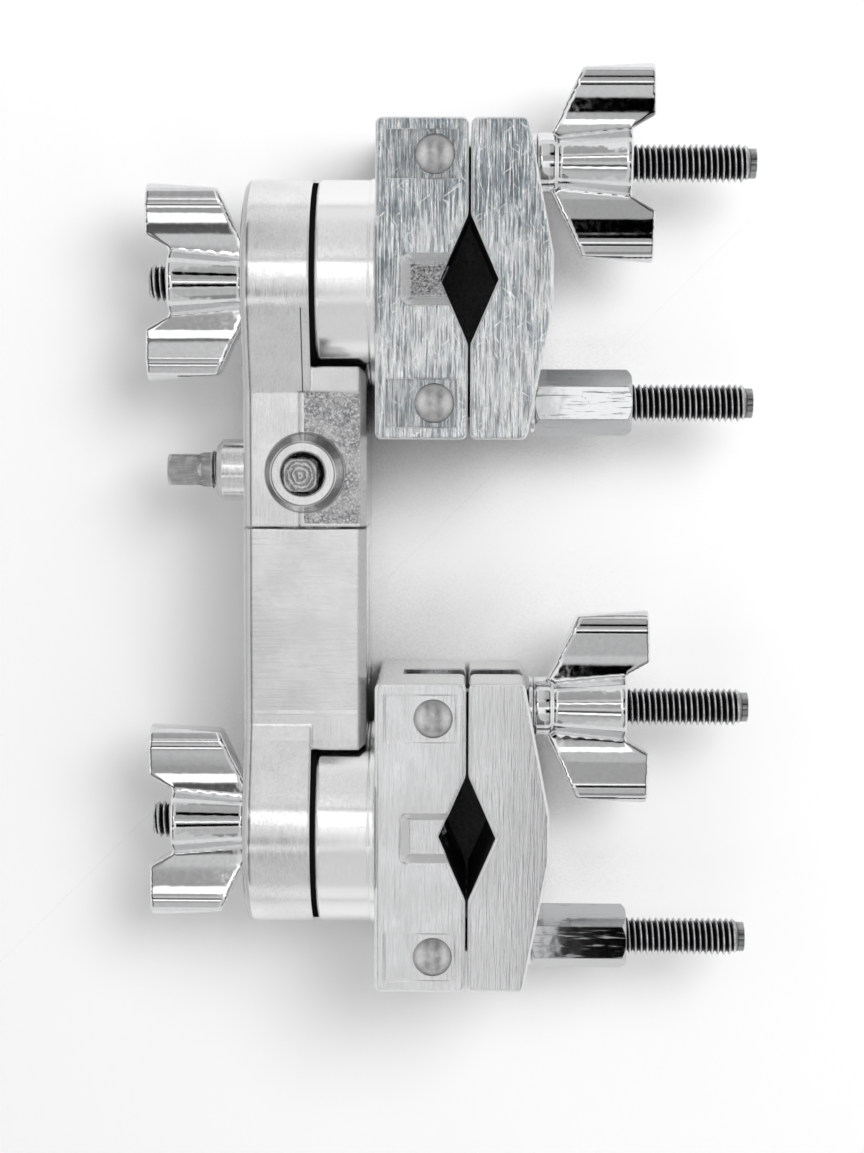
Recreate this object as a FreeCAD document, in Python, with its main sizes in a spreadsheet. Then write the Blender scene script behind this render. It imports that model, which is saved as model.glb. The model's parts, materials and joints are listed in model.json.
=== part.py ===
import FreeCAD, Part
import math
import os
import re

import Sketcher
from FreeCAD import Placement, Rotation, Vector

# Double clamp for round tubes, in millimetres, lying on its back.
# X runs from the arms to the bolt tips, Y from the lower clamp to the upper one, Z up.
# The origin is under the middle of the whole clamp, on the surface that it lies on.

# Driving sizes: alias, value, meaning.
SIZES = [
    ("disc_radius", 21.2, "round end of each arm, and the drum that turns on it"),
    ("arm_back", 12.7, "rod axis to the arm's outer face"),
    ("arm_front", 12.5, "rod axis to the block's face beside the jaws"),
    ("disc_face", 1.2, "rod axis to the round end's face under the drum"),
    ("arm_half_depth", 14.2, "half the depth of the arm's block"),
    ("arm_bevel", 1.6, "bevel along the block's long edges"),
    ("arm_round", 1.8, "rounding round the arm's outer face"),
    ("flare_start", 22.6, "drum axis to where the block widens into the round end"),
    ("saddle_gap", 1.3, "drum to the hollow shoulder of the block"),
    ("upper_reach", 50.2, "joint plane to the upper drum axis"),
    ("lower_reach", 63.2, "joint plane to the lower drum axis"),
    ("joint_gap", 0.5, "gap between the two blocks"),
    ("seam_width", 0.4, "width of the casting seam on the upper block"),
    ("seam_depth", 0.5, "depth of the casting seam"),
    ("half_step", 0.25, "step down from the upper block's left half to its right half"),
    ("seam_shift", 1.4, "rod axis to the casting seam"),
    ("recess_length", 29.0, "length of the shallow recess beside the lower block"),
    ("recess_width", 7.0, "width of that recess"),
    ("recess_depth", 0.6, "depth of that recess"),
    ("recess_start", 4.5, "joint plane to that recess"),
    ("rod_radius", 6.5, "centre rod"),
    ("rod_in_upper", 22.0, "length of the rod in the upper arm"),
    ("rod_in_lower", 26.0, "length of the rod in the lower arm"),
    ("rod_groove_depth", 1.0, "depth of the rod's locking groove"),
    ("rod_groove_width", 8.6, "width of the rod's locking groove"),
    ("bore_room", 0.3, "room past the end of a blind bore"),
    ("key_height", 11.25, "joint plane to both key bolts"),
    ("side_boss_radius", 6.45, "boss of the side key bolt"),
    ("side_boss_height", 6.5, "height of that boss over the arm's outer face"),
    ("side_boss_bevel", 1.2, "bevel on that boss"),
    ("front_boss_radius", 8.0, "foot of the front key bolt's boss"),
    ("front_boss_rim", 6.6, "rim of that boss"),
    ("front_boss_height", 6.6, "height of that boss over the block's front"),
    ("front_boss_foot", 1.4, "straight foot of that boss"),
    ("key_mouth_radius", 4.45, "mouth of each key bolt's bore"),
    ("key_mouth_depth", 2.4, "depth of that mouth"),
    ("key_square", 6.35, "key bolt's square, across flats"),
    ("key_corner_radius", 3.95, "turned corners of that square"),
    ("key_square_length", 7.2, "length of that square"),
    ("key_neck_length", 2.2, "plain neck between square and thread"),
    ("key_neck_radius", 3.6, "radius of that neck"),
    ("key_tip_bevel", 0.8, "bevel on the key bolt's square end"),
    ("side_key_stand", 1.0, "thread left standing out of the side boss"),
    ("front_key_sink", 2.0, "neck sunk under the front boss rim"),
    ("thread_radius", 4.0, "outer radius of all screw threads"),
    ("thread_gap", 0.05, "nut or bore to screw thread"),
    ("running_gap", 0.05, "turning or sliding faces and pins"),
    ("friction_thickness", 1.0, "friction disc under the drum"),
    ("friction_inset", 0.7, "friction disc's rim inside the round end's rim"),
    ("drum_length", 12.15, "length of the drum"),
    ("drum_edge", 0.6, "bevel round the drum's end"),
    ("lip_width", 1.3, "raised lip where the drum meets the jaw"),
    ("lip_height", 0.3, "height of that lip"),
    ("jaw_height", 64.0, "height of both jaws"),
    ("jaw_depth", 38.0, "depth of both jaws"),
    ("fixed_thickness", 18.6, "fixed jaw"),
    ("moving_thickness", 16.6, "moving jaw at its middle"),
    ("moving_end", 11.4, "moving jaw at its ends"),
    ("moving_flat", 10.0, "flat at the moving jaw's middle"),
    ("jaw_gap", 0.5, "gap between the closed jaws"),
    ("jaw_corner", 1.4, "rounded outer corners of the jaws"),
    ("jaw_edge", 0.5, "bevel round the jaws' large faces"),
    ("v_height", 25.8, "height of the V notch"),
    ("v_depth", 5.6, "depth of the V notch"),
    ("mouth_radius", 3.0, "rounding where the V meets the jaw's inner face"),
    ("pin_spacing", 49.4, "between the two swing bolts of a clamp"),
    ("pin_inset", 6.7, "fixed jaw's inner face to the pins"),
    ("pin_radius", 2.5, "pins that the swing bolts turn on"),
    ("pin_head_radius", 4.0, "domed head of the pins"),
    ("pin_head_height", 1.7, "height of that head"),
    ("pad_length", 14.5, "shallow flat under each pin head, along X"),
    ("pad_height", 9.8, "the same, along Y"),
    ("pad_depth", 0.35, "the same, depth"),
    ("pad_back", 9.9, "pin axis to the far end of that flat"),
    ("window_length", 7.8, "pocket beside the V, from its point"),
    ("window_height", 10.6, "height of that pocket"),
    ("window_depth", 2.0, "depth of that pocket"),
    ("window_slope", 42.0, "slope of its walls, in degrees from upright"),
    ("window_corner", 1.6, "rounded corners of that pocket"),
    ("slot_width", 9.0, "slots for the swing bolts"),
    ("slot_depth", 13.2, "slot in the fixed jaw, from its inner face"),
    ("slot_room", 0.6, "slot to the swing bolt's eye"),
    ("eye_radius", 5.8, "eye of the swing bolts"),
    ("eye_width", 8.4, "width of that eye"),
    ("swing_length", 66.0, "pin axis to the swing bolt's tip"),
    ("blank_radius", 3.6, "plain shank under the thread"),
    ("blank_length", 15.0, "pin axis to the start of the thread"),
    ("tip_length", 1.0, "plain tip of the bolts"),
    ("tip_radius", 3.2, "radius of that tip"),
    ("seat_thickness", 12.6, "moving jaw under the nuts"),
    ("seat_radius", 7.6, "round seats cut under the nuts"),
    ("washer_thickness", 0.8, "washers under the nuts"),
    ("washer_radius", 6.25, "outer radius of the washers"),
    ("flange_radius", 6.25, "wing nut's round foot"),
    ("flange_length", 4.35, "length of that foot"),
    ("flange_waist", 5.6, "narrowest radius of that foot"),
    ("wing_nut_length", 24.6, "seat to the wing tips"),
    ("hub_length", 19.85, "seat to the outer end of the hub"),
    ("hub_radius", 7.0, "hub of the wing nut"),
    ("wing_reach", 20.5, "axis to the wing tips"),
    ("wing_inner_reach", 19.4, "axis to the wing's inner corner"),
    ("wing_inner_place", 9.4, "seat to the wing's inner corner"),
    ("wing_root", 4.2, "half height of the wings at the foot"),
    ("wing_notch", 9.7, "axis to the wing's outer corner"),
    ("wing_tip_slant", 0.3, "lean of the wing's outer end"),
    ("hub_edge", 0.5, "bevels on the hub and the foot"),
    ("lobe_radius", 4.1, "rounded tips of the wings"),
    ("web_half", 2.6, "half the thickness of the wing near the hub"),
    ("web_slope", 17.0, "slope, in degrees, at which the web meets the rounded tip"),
    ("hex_flats", 12.0, "hex nut across flats"),
    ("hex_length", 20.1, "length of the hex nut"),
    ("hex_bevel", 0.9, "bevel on the hex nut's ends"),
    ("drum_nut_sink", 4.1, "drum washer's seat under the arm's outer face"),
    ("drum_seat_room", 1.2, "drum washer to the wall of its seat"),
    ("head_flats", 13.0, "drum bolt's head across flats"),
    ("head_height", 5.3, "drum bolt's head"),
    ("head_cover", 2.6, "point of the V to the drum bolt's head"),
    ("head_room", 0.15, "drum bolt's head to its recess"),
    ("drum_tip_stand", 3.9, "drum bolt's tip past the hub of its nut"),
]

# Derived places: alias, formula, meaning.
PLACES = [
    ("drum_start", "disc_face + friction_thickness + running_gap", "rod axis to the drum"),
    ("jaw_back", "drum_start + drum_length", "rod axis to the fixed jaw"),
    ("inner_face", "jaw_back + fixed_thickness", "rod axis to the fixed jaw's inner face"),
    ("pin_place", "inner_face - pin_inset", "rod axis to the pins"),
    ("pin_half", "pin_spacing / 2", "drum axis to the pins"),
    ("v_point", "inner_face - v_depth", "rod axis to the point of the V"),
    ("moving_face", "inner_face + jaw_gap", "rod axis to the moving jaw"),
    ("moving_point", "moving_face + v_depth", "rod axis to the moving jaw's V"),
    ("seat_place", "moving_face + seat_thickness", "rod axis to the seats of the washers"),
    ("washer_place", "seat_place + running_gap", "rod axis to the washers"),
    ("nut_place", "washer_place + washer_thickness", "rod axis to the nuts"),
    ("swing_tip", "pin_place + swing_length", "rod axis to the swing bolts' tips"),
    ("head_place", "v_point - head_cover - head_height", "rod axis to the drum bolt's head"),
    ("drum_seat", "arm_back - drum_nut_sink", "rod axis back to the drum washer"),
    ("drum_nut_seat", "drum_seat + washer_thickness + running_gap", "rod axis back to the drum nut"),
    ("drum_tip", "drum_nut_seat + hub_length + drum_tip_stand", "rod axis back to the drum bolt's tip"),
    ("drum_wing_tip", "drum_nut_seat + wing_nut_length", "rod axis back to the drum nut's tips"),
    ("saddle_radius", "disc_radius + saddle_gap", "hollow shoulder of the block"),
    ("saddle_drop", "sqrt(saddle_radius ^ 2 - arm_half_depth ^ 2)", "drum axis to that shoulder's edge"),
    ("flare_square", "flare_start ^ 2 + arm_half_depth ^ 2", "helps to find the tangent point"),
    ("flare_length", "sqrt(flare_square - disc_radius ^ 2)", "length of the tangent flare"),
    ("flare_drop",
     "(disc_radius ^ 2 * flare_start - disc_radius * flare_length * arm_half_depth) / flare_square",
     "drum axis to the flare's tangent point, along Y"),
    ("flare_rise",
     "(disc_radius ^ 2 * arm_half_depth + disc_radius * flare_length * flare_start) / flare_square",
     "the same, along Z"),
    ("lobe_place", "wing_reach - lobe_radius", "axis to the middle of the wing's rounded tip"),
    ("lobe_out", "lobe_radius * sin(web_slope)", "lobe's middle to where the web joins it, along Y"),
    ("lobe_up", "lobe_radius * cos(web_slope)", "the same, along Z"),
    ("web_curve", "(lobe_up - web_half) / (1 - cos(web_slope))", "radius of the hollow web"),
    ("web_start", "lobe_place - lobe_out - web_curve * sin(web_slope)", "axis to the web's flat middle"),
    ("hex_corner", "hex_flats / sqrt(3)", "hex nut across corners, halved"),
    ("head_corner", "head_flats / sqrt(3)", "drum bolt head across corners, halved"),
    ("recess_flats", "head_flats + 2 * head_room", "recess of that head across flats"),
    ("recess_corner", "recess_flats / sqrt(3)", "recess of that head across corners, halved"),
    ("pin_shoulder", "jaw_depth / 2 - pad_depth", "middle plane to the foot of the pin heads"),
    ("middle_x", "(swing_tip - drum_wing_tip) / 2", "rod axis to the middle of the whole clamp"),
    ("clamp_half", "max(pin_half + wing_reach; jaw_height / 2)", "drum axis to a clamp's upper end"),
    ("lower_half", "max(pin_half + hex_corner; jaw_height / 2)", "drum axis to a clamp's lower end"),
    ("middle_y", "(upper_reach + clamp_half - lower_reach - lower_half) / 2", "joint plane to the middle"),
    ("rest_height", "max(disc_radius + lip_height; jaw_depth / 2)", "middle plane over the surface"),
]

OVERLAP = "1"  # how far a boss starts inside the solid that carries it
FACING = {"XY_Plane": 1, "XZ_Plane": -1, "YZ_Plane": 1}  # side of the plane that a sketch faces

doc = FreeCAD.newDocument("GrabberClamp")
sheet = doc.addObject("Spreadsheet::Sheet", "Sizes")


def fill_sheet():
    """Write every size and place into the sheet, with its alias."""
    rows = [(alias, str(number), meaning) for alias, number, meaning in SIZES]
    rows += [(alias, "=" + formula, meaning) for alias, formula, meaning in PLACES]
    for row, (alias, content, meaning) in enumerate(rows, start=1):
        sheet.set(f"A{row}", meaning)
        sheet.set(f"B{row}", content)
        sheet.setAlias(f"B{row}", alias)
    doc.recompute()


def bound(formula):
    """The same formula with each alias read from the sheet."""
    return re.sub(r"[a-z][a-z0-9_]*\b(?!\()", r"Sizes.\g<0>", formula)


def number(formula):
    """The value of a sum of aliases and plain numbers, such as 'jaw_back - v_depth'."""
    total = 0.0
    for term in formula.replace("- ", "+ -").split("+"):
        sign = -1 if term.strip().startswith("-") else 1
        word, _, divisor = term.strip().lstrip("-").partition("/")
        word = word.strip()
        size = float(word) if word[0].isdigit() else float(sheet.get(word))
        total += sign * size / float(divisor or 1)
    return total


def origin_plane(body, role):
    """One of the body's own three origin planes."""
    return next(feature for feature in body.Origin.OriginFeatures if feature.Role == role)


def new_body(label):
    """An empty body with the label that names its file."""
    body = doc.addObject("PartDesign::Body", label)
    body.Label = label
    return body


def new_sketch(body, name, role, along="0", shift_x="0", shift_y="0"):
    """A sketch on an origin plane, moved along the axis across the plane, and within it."""
    sketch = body.newObject("Sketcher::SketchObject", name)
    sketch.AttachmentSupport = [(origin_plane(body, role), "")]
    sketch.MapMode = "FlatFace"
    side = "" if FACING[role] > 0 else "-1 * "
    sketch.setExpression("AttachmentOffset.Base.z", f"{side}({bound(along)})")
    sketch.setExpression("AttachmentOffset.Base.x", bound(shift_x))
    sketch.setExpression("AttachmentOffset.Base.y", bound(shift_y))
    return sketch


def fix_distance(sketch, kind, edge, end, formula):
    """Fix one point of a sketch at a distance, along X or Y, from the sketch's origin."""
    if formula == "0":
        axis = -2 if kind == "DistanceX" else -1
        sketch.addConstraint(Sketcher.Constraint("PointOnObject", edge, end, axis))
    else:
        index = sketch.addConstraint(Sketcher.Constraint(kind, -1, 1, edge, end, number(formula)))
        sketch.setExpression(f"Constraints[{index}]", bound(formula))


def fix_point(sketch, edge, end, x, y):
    """Fix one point of a sketch at the place that two formulas give."""
    fix_distance(sketch, "DistanceX", edge, end, x)
    fix_distance(sketch, "DistanceY", edge, end, y)


def arc_between(first, last, middle_x, turn):
    """The arc from first to last round a point at middle_x, that turns left (1) or right (-1)."""
    squares = last.x ** 2 - first.x ** 2 + last.y ** 2 - first.y ** 2
    middle_y = (squares - 2 * middle_x * (last.x - first.x)) / (2 * (last.y - first.y))
    middle = Vector(middle_x, middle_y, 0)
    start, stop = (first - middle, last - middle) if turn > 0 else (last - middle, first - middle)
    start_angle = math.atan2(start.y, start.x)
    stop_angle = math.atan2(stop.y, stop.x)
    if stop_angle <= start_angle:
        stop_angle += 2 * math.pi
    circle = Part.Circle(middle, Vector(0, 0, 1), start.Length)
    return Part.ArcOfCircle(circle, start_angle, stop_angle)


def draw_outline(sketch, corners):
    """Draw a closed outline. A corner is (x, y), or (x, y, middle x, turn) at the end of an arc."""
    places = [Vector(number(corner[0]), number(corner[1]), 0) for corner in corners]
    ends = []
    for index, place in enumerate(places):
        after = (index + 1) % len(places)
        arc = corners[after][2:]
        if arc:
            middle_x, turn = arc
            edge = sketch.addGeometry(arc_between(place, places[after], number(middle_x), turn))
            fix_distance(sketch, "DistanceX", edge, 3, middle_x)
            ends.append((edge, 1, 2) if turn > 0 else (edge, 2, 1))
        else:
            ends.append((sketch.addGeometry(Part.LineSegment(place, places[after])), 1, 2))
    for index, (edge, start, stop) in enumerate(ends):
        next_edge, next_start, _ = ends[(index + 1) % len(ends)]
        sketch.addConstraint(Sketcher.Constraint("Coincident", edge, stop, next_edge, next_start))
        fix_point(sketch, edge, start, corners[index][0], corners[index][1])


def draw_circle(sketch, radius, x="0", y="0"):
    """Draw a full circle."""
    circle = Part.Circle(Vector(number(x), number(y), 0), Vector(0, 0, 1), number(radius))
    edge = sketch.addGeometry(circle)
    dimension = Sketcher.Constraint("Radius", edge, number(radius))
    sketch.setExpression(f"Constraints[{sketch.addConstraint(dimension)}]", bound(radius))
    fix_point(sketch, edge, 3, x, y)


def pad(body, name, sketch, length, reverse=False, both=False):
    """A solid drawn out from a sketch."""
    feature = body.newObject("PartDesign::Pad", name)
    feature.Profile = sketch
    feature.Reversed = reverse
    feature.Midplane = both
    feature.setExpression("Length", bound(length))
    sketch.Visibility = False
    return feature


def pocket(body, name, sketch, length, reverse=False, both=False):
    """A cut drawn out from a sketch, against the side that the sketch faces."""
    feature = body.newObject("PartDesign::Pocket", name)
    feature.Profile = sketch
    feature.Reversed = reverse
    feature.Midplane = both
    feature.setExpression("Length", bound(length))
    return feature


def turned(body, name, sketch, axis, cut=False):
    """A solid or a cut turned about one axis of its sketch."""
    kind = "PartDesign::Groove" if cut else "PartDesign::Revolution"
    feature = body.newObject(kind, name)
    feature.Profile = sketch
    feature.ReferenceAxis = (sketch, [axis])
    feature.Angle = 360
    return feature


def mirrored(body, name, feature, role):
    """The same cut on the other side of one of the body's origin planes."""
    copy = body.newObject("PartDesign::Mirrored", name)
    copy.Originals = [feature]
    copy.MirrorPlane = (origin_plane(body, role), [""])
    body.Tip = copy
    return copy


def edges_of(feature, wanted):
    """Names of the feature's edges that the test accepts."""
    doc.recompute()
    return [f"Edge{index}" for index, edge in enumerate(feature.Shape.Edges, start=1) if wanted(edge)]


def soften(body, kind, name, feature, edges, size):
    """Round or bevel the named edges of a feature."""
    softened = body.newObject(f"PartDesign::{kind}", name)
    softened.Base = (feature, edges)
    softened.setExpression("Radius" if kind == "Fillet" else "Size", bound(size))
    return softened


def put(piece, x, y, z="0", rotation=None):
    """Place a piece, measured from the rod axis, the joint plane and the middle plane."""
    piece.Placement = Placement(Vector(0, 0, 0), rotation or Rotation())
    piece.setExpression("Placement.Base.x", bound(f"{x} - middle_x"))
    piece.setExpression("Placement.Base.y", bound(f"{y} - middle_y"))
    piece.setExpression("Placement.Base.z", bound(f"{z} + rest_height"))


def along_y_on_side(half_depth):
    """A test for the block's long edges beside the jaws."""
    def wanted(edge):
        box = edge.BoundBox
        on_side = abs(box.XMin - number("arm_front")) < 1e-4 and box.XLength < 1e-4
        return on_side and box.ZLength < 1e-4 and abs(abs(box.ZMin) - half_depth) < 1e-4
    return wanted


def round_outer_face(edge):
    """A test for the rim of the arm's outer face, apart from its end at the joint."""
    box = edge.BoundBox
    on_face = abs(box.XMin + number("arm_back")) < 1e-4 and box.XLength < 1e-4
    return on_face and box.YMax > number("joint_gap / 2") + 0.01


def make_arm_casting(body, reach):
    """The round end, its flares and the block, with the hollow shoulder for the drum."""
    end = "joint_gap / 2"
    block_end = f"{reach} - flare_start"
    tangent = f"{reach} - flare_drop"
    outline = new_sketch(body, "round_end_outline", "YZ_Plane", "-arm_back")
    draw_outline(outline, [
        (end, "-arm_half_depth"),
        (block_end, "-arm_half_depth"),
        (tangent, "-flare_rise"),
        (tangent, "flare_rise", reach, 1),
        (block_end, "arm_half_depth"),
        (end, "arm_half_depth"),
    ])
    pad(body, "round_end", outline, "arm_back + disc_face")
    shoulder = f"{reach} - saddle_drop"
    outline = new_sketch(body, "shoulder_outline", "YZ_Plane", "disc_face")
    draw_outline(outline, [
        (end, "-arm_half_depth"),
        (shoulder, "-arm_half_depth"),
        (shoulder, "arm_half_depth", reach, -1),
        (end, "arm_half_depth"),
    ])
    block = pad(body, "shoulder_block", outline, "arm_front - disc_face")
    rim = edges_of(block, round_outer_face)
    rounded = soften(body, "Fillet", "outer_rounding", block, rim, "arm_round")
    sides = edges_of(rounded, along_y_on_side(number("arm_half_depth")))
    return soften(body, "Chamfer", "side_bevels", rounded, sides, "arm_bevel")


def bore_for_drum_bolt(body, reach):
    """The through hole and the round seat for the drum bolt's washer and nut."""
    profile = new_sketch(body, "drum_bore_profile", "XY_Plane", shift_y=reach)
    draw_outline(profile, [
        ("-arm_back - 1", "0"),
        ("disc_face + 1", "0"),
        ("disc_face + 1", "thread_radius + thread_gap"),
        ("-drum_seat", "thread_radius + thread_gap"),
        ("-drum_seat", "washer_radius + drum_seat_room"),
        ("-arm_back - 1", "washer_radius + drum_seat_room"),
    ])
    turned(body, "drum_bore", profile, "H_Axis", cut=True)


def make_upper_arm():
    """The arm with the two key bolt bosses, which turns on the rod."""
    body = new_body("upper_arm")
    make_arm_casting(body, "upper_reach")
    half = new_sketch(body, "right_half_outline", "XY_Plane", "arm_half_depth")
    draw_outline(half, [
        ("-seam_shift", "0"),
        ("arm_front + 1", "0"),
        ("arm_front + 1", "upper_reach - flare_start"),
        ("-seam_shift", "upper_reach - flare_start"),
    ])
    pocket(body, "right_half", half, "half_step")
    profile = new_sketch(body, "side_boss_profile", "XY_Plane", shift_y="key_height")
    draw_outline(profile, [
        (f"-arm_back + {OVERLAP}", "0"),
        (f"-arm_back + {OVERLAP}", "side_boss_radius"),
        ("-arm_back - side_boss_height + side_boss_bevel", "side_boss_radius"),
        ("-arm_back - side_boss_height", "side_boss_radius - side_boss_bevel"),
        ("-arm_back - side_boss_height", "0"),
    ])
    turned(body, "side_boss", profile, "H_Axis")
    profile = new_sketch(body, "front_boss_profile", "XZ_Plane", "key_height")
    draw_outline(profile, [
        ("0", f"arm_half_depth - {OVERLAP}"),
        ("front_boss_radius", f"arm_half_depth - {OVERLAP}"),
        ("front_boss_radius", "arm_half_depth + front_boss_foot"),
        ("front_boss_rim", "arm_half_depth + front_boss_height"),
        ("0", "arm_half_depth + front_boss_height"),
    ])
    turned(body, "front_boss", profile, "V_Axis")
    hole = new_sketch(body, "rod_bore_circle", "XZ_Plane")
    draw_circle(hole, "rod_radius + running_gap")
    pocket(body, "rod_bore", hole, "rod_in_upper + bore_room")
    profile = new_sketch(body, "side_key_bore_profile", "XY_Plane", shift_y="key_height")
    draw_outline(profile, [
        ("0", "0"),
        ("0", "thread_radius + thread_gap"),
        ("-arm_back - side_boss_height + key_mouth_depth", "thread_radius + thread_gap"),
        ("-arm_back - side_boss_height + key_mouth_depth", "key_mouth_radius"),
        ("-arm_back - side_boss_height - 1", "key_mouth_radius"),
        ("-arm_back - side_boss_height - 1", "0"),
    ])
    turned(body, "side_key_bore", profile, "H_Axis", cut=True)
    profile = new_sketch(body, "front_key_bore_profile", "XZ_Plane", "key_height")
    draw_outline(profile, [
        ("0", "0"),
        ("thread_radius + thread_gap", "0"),
        ("thread_radius + thread_gap", "arm_half_depth + front_boss_height - key_mouth_depth"),
        ("key_mouth_radius", "arm_half_depth + front_boss_height - key_mouth_depth"),
        ("key_mouth_radius", "arm_half_depth + front_boss_height + 1"),
        ("0", "arm_half_depth + front_boss_height + 1"),
    ])
    turned(body, "front_key_bore", profile, "V_Axis", cut=True)
    bore_for_drum_bolt(body, "upper_reach")
    for name, low, high in (
        ("seam_below", "0", "key_height - front_boss_radius"),
        ("seam_above", "key_height + front_boss_radius", "upper_reach - flare_start"),
    ):
        groove = new_sketch(body, f"{name}_outline", "XY_Plane", "arm_half_depth")
        draw_outline(groove, [
            ("-seam_shift", low),
            ("-seam_shift + seam_width", low),
            ("-seam_shift + seam_width", high),
            ("-seam_shift", high),
        ])
        pocket(body, name, groove, "seam_depth")
    put(body, "0", "0")
    return body


def make_lower_arm():
    """The longer arm that holds the rod. It is drawn upwards and turned over."""
    body = new_body("lower_arm")
    make_arm_casting(body, "lower_reach")
    hole = new_sketch(body, "rod_seat_circle", "XZ_Plane")
    draw_circle(hole, "rod_radius + running_gap / 2")
    pocket(body, "rod_seat", hole, "rod_in_lower")
    bore_for_drum_bolt(body, "lower_reach")
    recess = new_sketch(body, "side_recess_outline", "YZ_Plane", "arm_front")
    draw_outline(recess, [
        ("recess_start", "-recess_width / 2"),
        ("recess_start + recess_length", "-recess_width / 2"),
        ("recess_start + recess_length", "recess_width / 2"),
        ("recess_start", "recess_width / 2"),
    ])
    pocket(body, "side_recess", recess, "recess_depth")
    put(body, "0", "0", rotation=Rotation(Vector(1, 0, 0), 180))
    return body


def make_swivel_rod():
    """The centre rod, with the groove that both key bolts press into."""
    body = new_body("swivel_rod")
    profile = new_sketch(body, "rod_profile", "XY_Plane")
    groove = "rod_radius - rod_groove_depth"
    draw_outline(profile, [
        ("0", "-rod_in_lower"),
        ("rod_radius", "-rod_in_lower"),
        ("rod_radius", "key_height - rod_groove_width / 2"),
        (groove, "key_height - rod_groove_width / 2 + rod_groove_depth"),
        (groove, "key_height + rod_groove_width / 2 - rod_groove_depth"),
        ("rod_radius", "key_height + rod_groove_width / 2"),
        ("rod_radius", "rod_in_upper - bore_room"),
        ("rod_radius - bore_room", "rod_in_upper"),
        ("0", "rod_in_upper"),
    ])
    turned(body, "rod", profile, "V_Axis")
    put(body, "0", "0")
    return body


def make_key_bolt(label, boss_end, thread_stand):
    """A screw with a square end. It is drawn along X with its point at the rod's groove."""
    body = new_body(label)
    point = "rod_radius - rod_groove_depth + running_gap"
    thread_end = f"{boss_end} + {thread_stand}"
    neck_end = f"{thread_end} + key_neck_length"
    square_end = f"{neck_end} + key_square_length"
    profile = new_sketch(body, "screw_profile", "XY_Plane")
    draw_outline(profile, [
        (point, "0"),
        (point, "rod_groove_width / 2 - rod_groove_depth - running_gap"),
        (f"{point} + tip_length", "thread_radius"),
        (thread_end, "thread_radius"),
        (f"{thread_end} + thread_radius - key_neck_radius", "key_neck_radius"),
        (neck_end, "key_neck_radius"),
        (f"{neck_end} + {OVERLAP}", "key_square / 2"),
        (f"{neck_end} + {OVERLAP}", "0"),
    ])
    turned(body, "screw", profile, "H_Axis")
    outline = new_sketch(body, "square_outline", "YZ_Plane", neck_end)
    draw_outline(outline, [
        ("-key_square / 2", "-key_square / 2"),
        ("key_square / 2", "-key_square / 2"),
        ("key_square / 2", "key_square / 2"),
        ("-key_square / 2", "key_square / 2"),
    ])
    pad(body, "square", outline, "key_square_length")
    profile = new_sketch(body, "corner_profile", "XY_Plane")
    draw_outline(profile, [
        (neck_end, "key_neck_radius"),
        (f"{neck_end} + {OVERLAP}", "key_corner_radius"),
        (f"{square_end} - key_tip_bevel", "key_corner_radius"),
        (square_end, "key_corner_radius - key_tip_bevel"),
        (square_end, "key_square"),
        (neck_end, "key_square"),
    ])
    turned(body, "turned_corners", profile, "H_Axis", cut=True)
    return body


def make_key_bolts():
    """The two screws that lock the rod, one from the side and one from the front."""
    side = make_key_bolt("side_key_bolt", "arm_back + side_boss_height", "side_key_stand")
    put(side, "0", "key_height", rotation=Rotation(Vector(0, 0, 1), 180))
    front = make_key_bolt("front_key_bolt", "arm_half_depth + front_boss_height", "-front_key_sink")
    put(front, "0", "key_height", rotation=Rotation(Vector(0, 1, 0), -90))
    return [side, front]


def outer_corners(places):
    """A test for upright edges that stand at one of the places."""
    def wanted(edge):
        box = edge.BoundBox
        upright = box.XLength < 1e-4 and box.YLength < 1e-4
        return upright and any(abs(box.XMin - x) < 1e-3 and abs(box.YMin - y) < 1e-3 for x, y in places)
    return wanted


def large_face_rim(edge):
    """A test for edges that lie in one of the jaws' two large faces."""
    box = edge.BoundBox
    return box.ZLength < 1e-4 and abs(abs(box.ZMin) - number("jaw_depth / 2")) < 1e-4


def cut_swing_slots(body, start, length, eye_end):
    """Slots for the two swing bolts, open at the jaw's ends."""
    outline = new_sketch(body, "slot_outline", "YZ_Plane", start)
    if eye_end:
        inner_end = "pin_half - eye_radius - slot_room"
        last_corner = (inner_end, "-slot_width / 2")
    else:
        inner_end = "pin_half"
        last_corner = (inner_end, "-slot_width / 2", inner_end, 1)
    draw_outline(outline, [
        ("jaw_height / 2 + 1", "-slot_width / 2"),
        ("jaw_height / 2 + 1", "slot_width / 2"),
        (inner_end, "slot_width / 2"),
        last_corner,
    ])
    slot = pocket(body, "upper_slot", outline, length, reverse=True)
    mirrored(body, "lower_slot", slot, "XZ_Plane")


def cut_face_pockets(body):
    """Flats under the pin heads and the pocket beside the V, on both large faces."""
    pads = new_sketch(body, "pin_pad_outlines", "XY_Plane", "jaw_depth / 2")
    for middle in ("pin_half", "-pin_half"):
        draw_outline(pads, [
            ("pin_place - pad_back", f"{middle} - pad_height / 2"),
            ("pin_place - pad_back + pad_length", f"{middle} - pad_height / 2"),
            ("pin_place - pad_back + pad_length", f"{middle} + pad_height / 2"),
            ("pin_place - pad_back", f"{middle} + pad_height / 2"),
        ])
    flats = pocket(body, "pin_pads", pads, "pad_depth")
    mirrored(body, "back_pin_pads", flats, "XY_Plane")
    outline = new_sketch(body, "window_outline", "XY_Plane", "jaw_depth / 2")
    far_end = "v_point - window_length"
    corner_middle = f"{far_end} + window_corner"
    draw_outline(outline, [
        (corner_middle, "-window_height / 2", corner_middle, 1),
        ("inner_face", "-window_height / 2"),
        ("inner_face", "window_height / 2"),
        (corner_middle, "window_height / 2"),
        (far_end, "window_height / 2 - window_corner", corner_middle, 1),
        (far_end, "-window_height / 2 + window_corner"),
    ])
    window = pocket(body, "window", outline, "window_depth")
    window.setExpression("TaperAngle", bound("-1 * window_slope"))
    mirrored(body, "back_window", window, "XY_Plane")


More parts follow.
